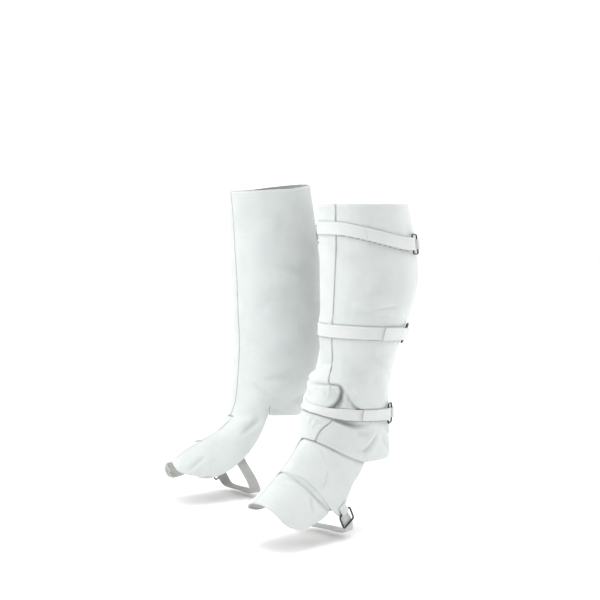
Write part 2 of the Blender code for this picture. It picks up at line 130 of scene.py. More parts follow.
ROOM_LIGHT = 1.13
SHADE_TURN = VIEW_TURN + 36   # the darker side of the room lies here, right of the camera
SHADE_LOW = -0.12
SHADE_DEPTH = 0.62            # the share of light that it loses
SHADE_FROM, SHADE_TO = 0.15, 0.85
world = bpy.data.worlds.new("white studio")
world.use_nodes = True
node = graph_tools(world.node_tree)
toward_shade = (math.sin(math.radians(SHADE_TURN)), -math.cos(math.radians(SHADE_TURN)), SHADE_LOW)
way = node("ShaderNodeTexCoord").outputs["Generated"]
facing = node("ShaderNodeVectorMath", {"operation": "DOT_PRODUCT"}, n0=way, n1=toward_shade)
dimmed = node("ShaderNodeMapRange", {"interpolation_type": "SMOOTHSTEP"}, Value=facing.outputs["Value"],
              n1=SHADE_FROM, n2=SHADE_TO, n3=ROOM_LIGHT, n4=ROOM_LIGHT * (1 - SHADE_DEPTH))
background = world.node_tree.nodes["Background"]
background.inputs["Color"].default_value = (1.0, 1.0, 1.0, 1)
world.node_tree.links.new(dimmed.outputs[0], background.inputs["Strength"])
bpy.context.scene.world = world
bpy.context.scene.view_settings.view_transform = "Standard"


def soft_lamp(name, aim, turn, height, distance, size, watts):
    """A square lamp at a turn and distance round its aim, which the camera doesn't see."""
    lamp = bpy.data.objects.new(name, bpy.data.lights.new(name, "AREA"))
    lamp.data.shape = "SQUARE"
    lamp.data.size = size
    lamp.data.energy = watts
    angle = math.radians(turn)
    lamp.location = Vector(aim) + Vector((distance * math.sin(angle), -distance * math.cos(angle), height))
    lamp.rotation_euler = (Vector(aim) - lamp.location).to_track_quat("-Z", "Y").to_euler()
    lamp.visible_camera = False
    bpy.context.scene.collection.objects.link(lamp)
    return lamp


soft_lamp("key", aim=(0, 0, -0.12), turn=VIEW_TURN - 80, height=1.25, distance=2.2, size=1.4, watts=12)
soft_lamp("edge light", aim=(0.135, -0.038, -0.10), turn=VIEW_TURN + 112, height=0.15, distance=0.62,
          size=0.5, watts=1.8)
soft_lamp("overhead", aim=(0.0, -0.05, -0.25), turn=20, height=1.7, distance=0.35, size=1.2, watts=16)

# A black card beside the far spat takes light off its right side
CARD_TURN, CARD_AWAY, CARD_WIDE, CARD_LOW, CARD_TOP = 126, 0.20, 0.14, -0.20, 0.10
bm = bmesh.new()
bmesh.ops.create_grid(bm, x_segments=1, y_segments=1, size=0.5)
card_size = Matrix.Diagonal((CARD_WIDE, CARD_TOP - CARD_LOW, 1, 1))
upright = Matrix.Rotation(math.radians(90), 4, "X")
spin = Matrix.Rotation(math.radians(CARD_TURN), 4, "Z")
card_way = Vector((math.sin(math.radians(CARD_TURN)), -math.cos(math.radians(CARD_TURN)), 0))
card_place = Vector((-0.135, 0.038, (CARD_LOW + CARD_TOP) / 2)) + card_way * CARD_AWAY
bmesh.ops.transform(bm, verts=bm.verts, matrix=Matrix.Translation(card_place) @ spin @ upright @ card_size)
card = link_mesh("black card", bm)
card.data.materials.append(plain_material("black cloth", (0.02, 0.02, 0.02), 1.0))
card.visible_camera = False
print("floor, surround, three lamps and a card")

# %% [markdown]
# ## Finding a place on a bent tube
# The leather runs down the shin and then forward over the shoe. A fold is easy to describe on such a form
# by how far it lies down the middle line of the leg and how many degrees round it. So each point is given
# those two numbers, and the direction that leads straight out of the leather.
# %% Leg coordinates
TOE_OUT = 5.0
STANCE = Vector((0.135, -0.038))
SIDES = {"left": 1, "right": -1}
# The middle line of a leg and foot: forward from the ankle and above the ground, in millimetres
MIDDLE_LINE = ((-14, 560), (-14, 470), (-18, 380), (-14, 300), (-4, 235), (4, 190), (20, 142),
               (50, 98), (92, 64), (140, 38), (205, 12))


def curve_through(points, steps):
    """Samples of a smooth curve through the points, by Catmull and Rom's rule."""
    points = np.array(points, float)
    padded = np.vstack([2 * points[0] - points[1], points, 2 * points[-1] - points[-2]])
    out = []
    for i in range(1, len(padded) - 2):
        p0, p1, p2, p3 = padded[i - 1:i + 3]
        for t in np.linspace(0, 1, steps, endpoint=False):
            out.append(0.5 * (2 * p1 + (p2 - p0) * t + (2 * p0 - 5 * p1 + 4 * p2 - p3) * t ** 2
                              + (3 * p1 - p0 - 3 * p2 + p3) * t ** 3))
    return np.array(out + [padded[-2]])


line = curve_through(MIDDLE_LINE, 14)
line_way = np.gradient(line, axis=0)
line_way /= np.linalg.norm(line_way, axis=1)[:, None]
line_down = np.concatenate([[0], np.cumsum(np.linalg.norm(np.diff(line, axis=0), axis=1))])
line_front = np.stack([-line_way[:, 1], line_way[:, 0]], axis=1)


def leg_axes(side):
    """The leg's own sideways and forward directions in the world."""
    angle = math.radians(TOE_OUT) * side
    sideways = np.array([math.cos(angle), math.sin(angle), 0]) * side
    forward = np.array([math.sin(angle), -math.cos(angle), 0])
    return sideways, forward


def along_line(table, place):
    """A table of the middle line, read between its steps."""
    low = np.minimum(np.floor(place).astype(int), len(table) - 2)
    part = place - low
    if table.ndim > 1:
        part = part[:, None]
    return table[low] * (1 - part) + table[low + 1] * part


def leg_frame(points, side):
    """Points in metres: the nearest place on the middle line, and millimetres across and before it."""
    sideways, forward = leg_axes(side)
    centre = np.array([side * STANCE.x, side * STANCE.y, GROUND])
    from_centre = (points - centre) / MM
    across, ahead, up = from_centre @ sideways, from_centre @ forward, from_centre[:, 2]
    gap = (ahead[:, None] - line[None, :, 0]) ** 2 + (up[:, None] - line[None, :, 1]) ** 2
    near = gap.argmin(axis=1)

    def past(step):
        return (ahead - line[step, 0]) * line_way[step, 0] + (up - line[step, 1]) * line_way[step, 1]

    here = past(near)
    beyond = np.clip(near + np.sign(here).astype(int), 0, len(line) - 1)
    change = here - past(beyond)
    part = np.clip(np.divide(here, change, out=np.zeros_like(here), where=np.abs(change) > 1e-9), 0, 1)
    place = near + (beyond - near) * part
    middle, front = along_line(line, place), along_line(line_front, place)
    toward = (ahead - middle[:, 0]) * front[:, 0] + (up - middle[:, 1]) * front[:, 1]
    return place, across, toward


def in_world(side, across, ahead, up):
    """World directions made of the leg's sideways, forward and upward parts."""
    sideways, forward = leg_axes(side)
    out = across[:, None] * sideways + ahead[:, None] * forward
    out[:, 2] += up
    return out


def leg_place(points, side):
    """(degrees round, millimetres down the middle line, outward direction) of points in metres."""
    place, across, toward = leg_frame(points, side)
    size = np.maximum(np.hypot(across, toward), 1e-6)
    front = along_line(line_front, place) * (toward / size)[:, None]
    outward = in_world(side, across / size, front[:, 0], front[:, 1])
    return np.degrees(np.arctan2(across, toward)), along_line(line_down, place), outward


def turned(points, side, degrees):
    """The points, each turned round the middle line by its own number of degrees."""
    place, across, toward = leg_frame(points, side)
    angle = np.radians(degrees)
    new_across = across * np.cos(angle) + toward * np.sin(angle)
    new_toward = toward * np.cos(angle) - across * np.sin(angle)
    front = along_line(line_front, place) * (new_toward - toward)[:, None]
    return points + in_world(side, new_across - across, front[:, 0], front[:, 1]) * MM


def way_down(point, side):
    """The direction that runs down the leg, or forward along the foot, at one point."""
    way = along_line(line_way, leg_frame(np.array([point]), side)[0])
    return Vector(in_world(side, np.zeros(1), way[:, 0], way[:, 1])[0])


print("middle line", round(line_down[-1]), "mm long in", len(line), "steps")

# %% [markdown]
# ## Folds listed one by one
# Worn split leather doesn't ripple evenly: it has a few deep folds where the foot bends, and long soft
# ones where a strap draws it in. A cloth simulation would scatter its own, so each fold is placed from a
# short table. Its middle, slope, length and width are given, and its depth is negative for a trough.
# %% Fold tables
Fold = namedtuple("Fold", "turn down slope length width depth bend")
LEFT_FOLDS = (
    # on the soft roll over the ankle
    (-2, 361, -4, 12, 4.0, -1.6, 0),
    (-34, 352, 14, 18, 3.5, -2.2, 2),
    (-14, 380, 24, 9, 3.0, -1.2, 0),
    (-40, 384, -10, 14, 3.0, -1.4, 0),
    (12, 376, 50, 9, 4.0, -0.7, 0),
    # under the ankle strap and down to the hem
    (84, 424, -14, 16, 4.5, -1.6, 0),
    (110, 432, 118, 17, 4.5, -2.4, 2),
    (92, 446, 150, 15, 4.0, -1.2, 0),
    (6, 432, 30, 16, 4.0, -1.0, 0),
    (-60, 436, -24, 24, 5.0, -1.8, 2),
    # on the shin and calf
    (72, 242, -14, 19, 3.0, -1.1, 1),
    (60, 252, 8, 24, 3.6, -0.8, -1),
    (50, 226, -24, 22, 6.0, -0.8, 2),
    (84, 320, 20, 24, 6.0, -1.0, -2),
    (58, 336, -12, 18, 5.0, -0.7, 0),
    (38, 176, 60, 30, 9.0, -0.8, 4),
    (96, 176, 76, 34, 9.0, 0.9, 3),
    # on the inner side and the back, as soft and uneven as in front
    (-96, 336, 16, 30, 6.0, -1.8, 3),
    (-120, 372, -12, 26, 5.0, -2.2, -2),
    (-150, 396, 10, 28, 5.0, -2.0, 3),
    (170, 360, -8, 24, 5.5, -1.8, 2),
    (150, 420, 18, 20, 4.5, -1.5, 0),
    (-86, 250, 10, 30, 8.0, -1.0, 3),
    (-130, 232, -16, 28, 7.0, -1.2, -3),
    (168, 262, 12, 30, 7.0, -1.1, 2),
    (-70, 146, 70, 36, 10.0, -0.9, 5),
    (-140, 150, 96, 40, 10.0, -0.9, -4),
    # on the instep and the toe
    (34, 492, 40, 16, 4.0, -0.9, 2),
    (62, 520, 64, 16, 4.0, -1.3, 2),
    (72, 566, 30, 12, 3.5, -1.2, 0),
    (20, 560, -30, 16, 5.0, -0.8, 2),
    (-50, 500, 34, 20, 5.0, -1.4, 3),
    (-60, 548, -20, 16, 4.5, -1.0, 0),
)
RIGHT_FOLDS = (
    # on the flap's inner half, which the photograph shows
    (-64, 468, 68, 22, 6.0, -2.8, 2),
    (-50, 474, 62, 14, 4.6, -1.1, 0),
    (-41, 586, 98, 17, 4.6, -2.1, 2),
    (-58, 560, 84, 14, 5.0, -0.9, 0),
    (-24, 536, 20, 18, 5.0, -0.8, 2),
    # on the tube's inner side
    (-80, 372, 14, 26, 7.0, -1.2, 3),
    (-52, 398, -18, 24, 6.0, -1.2, -2),
    (-100, 424, 10, 20, 5.0, -1.5, 0),
    (-46, 250, 22, 32, 10.0, -0.8, 4),
    (-84, 196, -10, 34, 10.0, -0.9, 3),
    (-60, 130, 80, 36, 12.0, -0.8, 4),
    # on the outer side and the back
    (60, 388, 12, 26, 5.5, -2.2, 2),
    (96, 404, -14, 24, 5.0, -2.0, -2),
    (36, 420, 8, 18, 4.5, -1.8, 0),
    (128, 384, 16, 26, 6.0, -1.8, 2),
    (164, 420, -10, 24, 5.5, -1.6, 0),
    (-160, 392, 12, 28, 6.0, -1.8, 3),
    (84, 262, 10, 30, 8.0, -1.1, 2),
    (130, 240, -14, 28, 7.0, -1.0, -2),
    (-150, 250, 12, 30, 8.0, -1.2, 3),
    (70, 150, 76, 34, 11.0, -0.9, 4),
    (150, 150, 100, 36, 11.0, -0.9, -4),
    (50, 500, 40, 18, 4.5, -1.2, 2),
    (64, 552, 24, 14, 4.0, -1.2, 0),
)
FOLDS = {"left": [Fold(*row) for row in LEFT_FOLDS], "right": [Fold(*row) for row in RIGHT_FOLDS]}

# A sharp crease follows a path. Each row holds its turn and its way down, how deep it is, how wide it is on
# its upper and its lower side (seen as the path runs), and how far the leather above it hangs out over it.
CREASES = {
    "left": {
        "the roll's edge, and the deep hook at its end": (
            (2, 360, 0.5, 3.0, 5.0, 0.0), (12, 359, 1.8, 2.4, 4.0, 0.5), (21, 357.5, 2.6, 2.0, 3.0, 0.9),
            (28, 360, 3.8, 2.4, 2.2, 0.8), (30.5, 369, 5.6, 3.6, 2.0, 0.0), (28, 384, 7.2, 6.5, 2.2, 0.0),
            (24, 395, 6.4, 8.0, 2.6, 0.0), (20, 403, 2.4, 7.0, 3.0, 0.0),
        ),
        "the ledge right of the hook": (
            (31, 361, 0.3, 1.5, 2.0, 0.6), (38, 371, 1.4, 1.2, 3.0, 2.0), (48, 383, 2.4, 1.3, 4.0, 2.6),
            (57, 388, 2.6, 1.4, 4.0, 2.4), (66, 390.5, 2.0, 1.3, 3.0, 1.8), (81, 390, 1.5, 1.2, 2.6, 1.2),
            (96, 387, 1.1, 1.2, 2.6, 0.9), (114, 385, 0.3, 1.2, 2.0, 0.3),
        ),
        "the hollow below the ankle strap": (
            (24, 421, 0.8, 3.0, 3.0, 0.0), (34, 420, 4.2, 4.5, 4.0, 0.0), (45, 418, 6.0, 5.5, 5.5, 0.0),
            (56, 416, 5.0, 5.5, 6.5, 0.0), (70, 413, 3.0, 4.0, 7.0, 0.0), (88, 409, 0.8, 3.0, 7.0, 0.0),
        ),
        "a fold on the inner side of the ankle": (
            (-52, 372, 0.4, 3.0, 3.0, 0.4), (-66, 377, 2.2, 1.8, 3.6, 1.6), (-84, 378, 2.8, 1.6, 4.0, 2.0),
            (-104, 374, 1.8, 1.8, 3.6, 1.2), (-120, 368, 0.4, 3.0, 3.0, 0.2),
        ),
        "a fold over the heel": (
            (126, 398, 0.3, 3.0, 3.0, 0.3), (146, 404, 2.0, 1.8, 3.4, 1.4), (166, 406, 2.4, 1.6, 3.8, 1.6),
            (186, 402, 0.6, 2.4, 3.0, 0.4),
        ),
    },
    "right": {
        "a ledge on the outer side of the ankle": (
            (34, 378, 0.3, 2.0, 3.0, 0.4), (52, 383, 1.8, 1.6, 3.6, 1.5), (74, 384, 2.4, 1.5, 4.0, 1.9),
            (96, 379, 1.6, 1.6, 3.6, 1.2), (112, 374, 0.3, 2.4, 3.0, 0.2),
        ),
        "a fold over the heel": (
            (138, 402, 0.3, 2.6, 3.0, 0.3), (156, 408, 1.9, 1.7, 3.6, 1.3), (176, 409, 2.2, 1.6, 3.6, 1.5),
            (196, 404, 0.5, 2.4, 3.0, 0.3),
        ),
    },
}


def fold_frame(mark, turn, down):
    """Distances along and across one fold, in millimetres, a degree round the leg counted as one."""
    away = (turn - mark.turn + 180) % 360 - 180
    drop = down - mark.down
    slope = math.radians(mark.slope)
    along = away * math.cos(slope) + drop * math.sin(slope)
    across = drop * math.cos(slope) - away * math.sin(slope)
    return along, across - mark.bend * (along / mark.length) ** 2


def fold_height(side, turn, down):
    """How far the folds move each point outward, in millimetres."""
    height = np.zeros_like(turn)
    for mark in FOLDS[side]:
        along, across = fold_frame(mark, turn, down)
        taper = np.exp(-(along / mark.length) ** 4)
        shape = np.exp(-(across / mark.width) ** 2)
        lips = np.exp(-((np.abs(across) - 2.1 * mark.width) / (1.1 * mark.width)) ** 2)
        height += mark.depth * taper * (shape - 0.3 * lips)
    return height


# Where the near spat has slid down over the ankle, its seam is dragged round the leg with the roll
# (millimetres down, degrees)
SEAM_PULL = ((-40, -2.4), (280, -2.4), (340, -3.2), (357, -1.5), (359, 6.0),
             (361, 11.5), (368, 14.0), (378, 13.0), (386, 11.0), (394, 8.0),
             (406, 8.0), (420, 10.0), (429, 8.8), (440, 4.2), (452, 1.2),
             (462, 0.2), (472, 0))
# Its toe seam lies higher on the outer side than on the inner side
# (degrees round, millimetres up)
TOE_SLIDE = ((-10, 0), (8, 0.5), (20, 3), (36, 7), (68, 7), (86, 5),
             (100, 2), (112, 0))
TOE_SEAM_AT = 555.0       # millimetres down at which the toe seam lies before it is slid
SLIDE_REACH = 26.0        # millimetres over which a slide fades out
# The far spat's front hem hangs lower on its inner side
HEM_SLIDE = ((-62, 0), (-45, -7), (-30, -9), (-15, -5), (0, 0))
HEM_AT = 606.0            # millimetres down at which that hem lies
PULLED_AT = 16.0          # degrees round at which the seam lies before it is dragged
PULL_REACH = 26.0         # degrees over which the pull fades out
REACH_OUT = 0.030         # metres outside a point from which the skin is looked for


def panel_tree(side):
    """The surface of all panels' solids of one spat."""
    bm = bmesh.new()
    for part in ("inner_panel", "outer_panel", "instep_band", "toe_piece"):
        bm.from_mesh(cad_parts[f"{side}_{part}"].data)
    return BVHTree.FromBMesh(bm)


def skin_radius(point, outward, tree):
    """How far the solids' outer skin lies from a point, along a direction."""
    hit = tree.ray_cast(point + outward * REACH_OUT, -outward, REACH_OUT * 2)
    return None if hit[0] is None else (hit[0] - point).dot(outward)


def dragged(points, side, tree):
    """Points dragged round with the near seam, and slid up or down with the toe seam or the far hem."""
    turn, down, outward = leg_place(points, SIDES[side])
    way = along_line(line_way, leg_frame(points, SIDES[side])[0])
    down_the_leg = in_world(SIDES[side], np.zeros(len(points)), way[:, 0], way[:, 1])
    if side == "right":
        turns, ups = np.array(HEM_SLIDE).T
        slide = np.interp(turn, turns, ups, left=0, right=0)
        slide = slide * softstep(down, HEM_AT - 2 * SLIDE_REACH, HEM_AT)
        return points - down_the_leg * (slide * MM)[:, None]
    downs, degrees = np.array(SEAM_PULL).T
    amount = np.interp(down, downs, degrees) * np.exp(-((turn - PULLED_AT) / PULL_REACH) ** 2)
    moved = turned(points, SIDES[side], amount)
    turns, ups = np.array(TOE_SLIDE).T
    slide = np.interp(turn, turns, ups, left=0, right=0)
    slide = slide * np.exp(-((down - TOE_SEAM_AT) / SLIDE_REACH) ** 2)
    moved -= down_the_leg * (slide * MM)[:, None]
    new_outward = leg_place(moved, SIDES[side])[2]
    for index in np.flatnonzero(np.abs(amount) + slide > 0.05):
        before = skin_radius(Vector(points[index]), Vector(outward[index]), tree)
        after = skin_radius(Vector(moved[index]), Vector(new_outward[index]), tree)
        if before is not None and after is not None and abs(after - before) < REACH_OUT / 2:
            moved[index] += new_outward[index] * (after - before)
    return moved


OVERHANG = 11.0           # millimetres over which a lifted edge fades back into the tube
FAR = 34.0                # millimetres from a crease beyond which it moves nothing


def to_crease(rows, turn, down):
    """The nearest place on a crease: the gap in millimetres, positive above it, and its row there."""
    path = curve_through(rows, 40)
    along = np.gradient(path[:, :2], axis=0)
    middle = (path[0, 0] + path[-1, 0]) / 2
    offset = (turn - middle + 180) % 360 - 180 + middle
    low, high = path[:, :2].min(axis=0) - FAR, path[:, :2].max(axis=0) + FAR
    inside = (offset > low[0]) & (offset < high[0]) & (down > low[1]) & (down < high[1])
    gap, row = np.full(len(turn), 10.0 * FAR), np.repeat(path[:1], len(turn), axis=0)
    away = offset[inside][:, None] - path[None, :, 0]
    drop = down[inside][:, None] - path[None, :, 1]
    if inside.any():
        near = (away ** 2 + drop ** 2).argmin(axis=1)
        index = np.arange(len(near))
        away, drop = away[index, near], drop[index, near]
        sign = np.where(along[near, 1] * away - along[near, 0] * drop >= 0, 1.0, -1.0)
        gap[inside] = sign * np.hypot(away, drop)
        row[inside] = path[near]
    return gap, row


def crease_height(side, turn, down):
    """How far the sharp creases move each point outward, in millimetres."""
    height = np.zeros_like(turn)
    for rows in CREASES[side].values():
        gap, row = to_crease(rows, turn, down)
        depth, above, below, lift = row[:, 2:].T
        width = np.where(gap > 0, above, below)
        height -= depth * np.exp(-(gap / width) ** 2)
        proud = softstep(gap, 0.3, 2.6) * np.exp(-(gap / OVERHANG) ** 2)
        height += lift * proud
    return height


def softstep(values, low, high):
    """0 below low, 1 above high, and a smooth rise between them."""
    t = np.clip((values - low) / (high - low), 0, 1)
    return t * t * (3 - 2 * t)


print("folds:", {side: len(marks) for side, marks in FOLDS.items()},
      "creases:", {side: len(marks) for side, marks in CREASES.items()})

# %% [markdown]
# ## From faceted solid to soft leather
# The solids are loose triangles, so a copy of each is merged and its triangles are joined into the grid
# that they came from. Subdivision then rounds the grid, while creased rims keep the wall's thickness.
# Sculpting by hand would also do it, but this keeps every edge where the real size puts it.
# %% Merged copies
RIM_ANGLE = math.radians(38)
RIM_CREASE = 0.88
MERGE = 1e-5
INSTEP_MERGE = 5e-4       # the instep band is welded over wider gaps


def merged_copy(node, merge=MERGE):
    """A welded copy of a solid's mesh, mostly quads, with its sharp edges creased."""
    bm = bmesh.new()
    bm.from_mesh(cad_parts[node].data)
    bmesh.ops.remove_doubles(bm, verts=bm.verts, dist=merge)
    bmesh.ops.join_triangles(bm, faces=bm.faces, angle_face_threshold=math.radians(25),
                             angle_shape_threshold=math.radians(50))
    crease = bm.edges.layers.float.new("crease_edge")
    for edge in bm.edges:
        if len(edge.link_faces) == 2 and edge.calc_face_angle(0) > RIM_ANGLE:
            edge[crease] = RIM_CREASE
    return bm


def broad_sides(bm):
    """The two largest runs of faces between creased edges: the outer and the inner side of a wall."""
    crease = bm.edges.layers.float["crease_edge"]
    seen, runs = set(), []
    for start in bm.faces:
        if start in seen:
            continue
        run, waiting = [], [start]
        seen.add(start)
        while waiting:
            face = waiting.pop()
            run.append(face)
            for edge in face.edges:
                if edge[crease] > 0:
                    continue
                for beyond in edge.link_faces:
                    if beyond not in seen:
                        seen.add(beyond)
                        waiting.append(beyond)
        runs.append(run)
    return sorted(runs, key=lambda run: -sum(face.calc_area() for face in run))[:2]


def ring_rims(bm, width):
    """A narrow ring of faces inside each rim, so that subdivision has points to round the edge with."""
    for run in broad_sides(bm):
        bmesh.ops.inset_region(bm, faces=run, thickness=width * MM, use_even_offset=True)


def subdivided(name, bm, levels):
    """The mesh as an object, with a Catmull-Clark subdivision applied to it."""
    obj = link_mesh(name, bm)
    rounding = obj.modifiers.new("rounding", "SUBSURF")
    rounding.levels = rounding.render_levels = levels
    bpy.context.view_layer.update()
    graph = bpy.context.evaluated_depsgraph_get()
    smooth_mesh = bpy.data.meshes.new_from_object(obj.evaluated_get(graph))
    rough_mesh = obj.data
    obj.modifiers.clear()
    obj.data = smooth_mesh
    bpy.data.meshes.remove(rough_mesh)
    smooth_mesh.name = name
    smooth_mesh.materials.clear()
    return obj


def mesh_points(mesh):
    """The places of a mesh's points, one row each."""
    points = np.empty(len(mesh.vertices) * 3, np.float32)
    mesh.vertices.foreach_get("co", points)
    return points.reshape(-1, 3).astype(float)


def put_points(mesh, points):
    """Moves a mesh's points to these places."""
    mesh.vertices.foreach_set("co", points.astype(np.float32).ravel())
    mesh.update()


def store(mesh, name, values):
    """Keeps one number per point on the mesh, for its material to read."""
    layer = mesh.attributes.new(name, "FLOAT", "POINT")
    layer.data.foreach_set("value", np.asarray(values, np.float32))


def rim_points(bm, step=1.5):
    """Points along the creased edges of a merged copy, a step in millimetres apart."""
    crease = bm.edges.layers.float["crease_edge"]
    spots = []
    for edge in bm.edges:
        if edge[crease] > 0:
            a, b = (vert.co for vert in edge.verts)
            count = max(1, math.ceil((b - a).length / (step * MM)))
            spots += [a.lerp(b, k / count) for k in range(count)]
    return spots


def distances(points, spots):
    """How far each point lies from the nearest spot, in millimetres."""
    tree = KDTree(len(spots))
    for index, spot in enumerate(spots):
        tree.insert(spot, index)
    tree.balance()
    return np.array([tree.find(point)[2] for point in points]) / MM


FINE_CUTS = 3             # cuts across each face beside a crease or a narrow fold
FINE_REACH = 9.0          # millimetres on both sides of a crease that get the finer mesh
STRAP_REACH = 4.5         # millimetres from a strap that get a finer mesh
COARSE_AREA = 4e-6        # square metres: smaller faces are fine enough beside a strap
STRAP_CUTS = 2            # cuts across each face beside a strap


def cut_finer(bm, faces, cuts):
    """Cuts faces into smaller ones, and rounds the new points in."""
    edges = sorted({edge for face in faces for edge in face.edges}, key=lambda edge: edge.index)
    made = bmesh.ops.subdivide_edges(bm, edges=edges, cuts=cuts, use_grid_fill=True)
    fresh = [item for item in made["geom_inner"] if isinstance(item, bmesh.types.BMVert)]
    for _ in range(2):
        bmesh.ops.smooth_vert(bm, verts=fresh, factor=0.4, use_axis_x=True, use_axis_y=True, use_axis_z=True)


def add_detail(obj, side, straps):
    """Cuts the faces beside creases, narrow folds and straps finer."""
    bm = bmesh.new()
    bm.from_mesh(obj.data)
    centres = np.array([face.calc_center_median() for face in bm.faces])
    turn, down, _ = leg_place(centres, SIDES[side])
    wanted = np.zeros(len(centres), bool)
    for rows in CREASES[side].values():
        wanted |= np.abs(to_crease(rows, turn, down)[0]) < FINE_REACH
    for mark in FOLDS[side]:
        along, across = fold_frame(mark, turn, down)
        wanted |= (mark.width < 4.6) & (np.abs(along) < 1.3 * mark.length) & (np.abs(across) < 3 * mark.width)
    bm.faces.ensure_lookup_table()
    bm.edges.index_update()
    if wanted.any():
        cut_finer(bm, [bm.faces[index] for index in np.flatnonzero(wanted)], FINE_CUTS)
    bm.edges.index_update()
    beside = [face for face in bm.faces if face.calc_area() > COARSE_AREA
              and straps.find_nearest(face.calc_center_median(), STRAP_REACH * MM)[0] is not None]
    if beside:
        cut_finer(bm, beside, STRAP_CUTS)
    bm.to_mesh(obj.data)
    bm.free()


print("tools for soft leather are ready")

# %% [markdown]
# ## Leather, seen close
# The panels are split cowhide in a cool off-white: matte, with a short nap, soft cloudy patches and
# slightly warmer cut edges. The straps are cut from smoother, creamier leather. A photograph of leather
# could be wrapped on, but noise in the leather's own space has no seams and keeps its scale everywhere.
# %% Leather materials
SHADE_AND_WEAR_TONE = (0.19, 0.19, 0.18)   # painted shade in seams, painted shadow by straps, wear and painted shade under the foot
# the inner wall's tone: the flesh side's own colour, with painted shade for the hollow inside
FLESH_SIDE_AND_HOLLOW_SHADE = (0.50, 0.51, 0.485)
CREASE_SHADE_TONE = 0.58           # how bright the darker tone stays where painted shade fills the deepest trough


def leather(name, light, shade, cut_edge, nap, roughness, bump):
    """A leather: two tones in clouds, a nap or grain of the given scale, and a rawer cut edge."""
    material = bpy.data.materials.new(name)
    material.use_nodes = True
    node = graph_tools(material.node_tree)
    shader = material.node_tree.nodes["Principled BSDF"]

    def mix(factor, first, second):
        return node("ShaderNodeMix", {"data_type": "RGBA"}, Factor=factor, n6=first, n7=second).outputs[2]

    def kept(name):
        return node("ShaderNodeAttribute", {"attribute_name": name}).outputs["Fac"]

    place = node("ShaderNodeTexCoord").outputs["Object"]
    clouds = node("ShaderNodeTexNoise", Vector=place, Scale=26.0, Detail=5.0, Roughness=0.55)
    flecks = node("ShaderNodeTexNoise", Vector=place, Scale=260.0, Detail=4.0, Roughness=0.65)
    fibres = node("ShaderNodeTexNoise", Vector=place, Scale=nap, Detail=6.0, Roughness=0.7,
                  Distortion=0.6)
    pores = node("ShaderNodeTexVoronoi", Vector=place, Scale=nap * 0.9)
    spread = node("ShaderNodeMapRange", Value=clouds.outputs[0], n1=0.38, n2=0.66)
    fleck = node("ShaderNodeMapRange", Value=flecks.outputs[0], n1=0.5, n2=0.72, n3=0.0, n4=0.35)
    share = node("ShaderNodeMath", {"operation": "ADD", "use_clamp": True},
                 n0=spread.outputs[0], n1=fleck.outputs[0])
    tone = mix(share.outputs[0], (*light, 1), (*shade, 1))
    # painted shade: the troughs of folds and creases are darkened
    crease_shaded = mix(kept("trough"), tone, (*[CREASE_SHADE_TONE * value for value in shade], 1))
    # painted shade in the seams and painted shadow beside the straps; on the underfoot strap, wear and
    # painted shade
    shade_wear_mixed = mix(kept("grime"), crease_shaded, (*SHADE_AND_WEAR_TONE, 1))
    # the inner wall is darkened: the flesh side's own tone, and painted shade for the hollow inside
    flesh_and_hollow_shade = mix(kept("inside"), shade_wear_mixed, (*FLESH_SIDE_AND_HOLLOW_SHADE, 1))
    raw = node("ShaderNodeMath", {"operation": "MULTIPLY"}, n0=kept("rim"), n1=fibres.outputs[0])
    tree = material.node_tree
    tree.links.new(mix(raw.outputs[0], flesh_and_hollow_shade, (*cut_edge, 1)), shader.inputs["Base Color"])
    dull = node("ShaderNodeMapRange", Value=fibres.outputs[0], n1=0.3, n2=0.7,
                n3=roughness - 0.08, n4=roughness + 0.08)
    tree.links.new(dull.outputs[0], shader.inputs["Roughness"])
    height = node("ShaderNodeMath", {"operation": "MULTIPLY_ADD"},
                  n0=pores.outputs[0], n1=0.5, n2=fibres.outputs[0])
    coarse = node("ShaderNodeMath", {"operation": "MULTIPLY_ADD"},
                  n0=flecks.outputs[0], n1=1.2, n2=height.outputs[0])
    relief = node("ShaderNodeBump", Strength=bump, Distance=0.0003, Height=coarse.outputs[0])
    tree.links.new(relief.outputs[0], shader.inputs["Normal"])
    shader.inputs["Sheen Weight"].default_value = 0.15
    shader.inputs["Sheen Roughness"].default_value = 0.6
    shader.inputs["Specular IOR Level"].default_value = 0.3
    return material


split_leather = leather("white split leather", (0.622, 0.655, 0.647), (0.58, 0.614, 0.606),
                        (0.58, 0.59, 0.565), 1300.0, 0.88, 0.55)
strap_leather = leather("white strap leather", (0.655, 0.675, 0.668), (0.618, 0.638, 0.63),
                        (0.57, 0.57, 0.545), 1900.0, 0.66, 0.3)
thread_white = plain_material("white thread", (0.80, 0.80, 0.77), 0.75)
print("materials:", split_leather.name, strap_leather.name)

# %% [markdown]
# ## Straps and chapes
# A strap is one thick ribbon of smoother leather that turns round the buckle's bar and lies back on itself.
# Its solid floats a little above the panel, as solids must not touch. On the real spat it is pulled tight,
# so away from its buckle the strap is let down onto the leather. Straps come before the panels, whose
# leather swells beside them.
# %% Straps
PANELS = ("inner_panel", "outer_panel", "instep_band", "toe_piece")
STRAPS = ("strap_top", "strap_middle", "strap_ankle", "chape_top", "chape_middle", "chape_ankle")
BUCKLES = ("buckle_top", "buckle_middle", "buckle_ankle", "underfoot_buckle")
pieces = {}
STRAP_DROP = 0.55         # millimetres that a strap is let down onto the leather
STRAP_WANDER = 0.16       # millimetres that its faces wander in and out
UNDERFOOT_WEAR_AND_SHADE = {"left": 0.25, "right": 0.62}   # grey of the strap under each foot: wear on both, and painted shade on the right one
# The near ankle strap is drawn in by its tension: its width there, as a share of the cut width
PINCH_FRONT, PINCH_SIDE = 0.72, 0.86


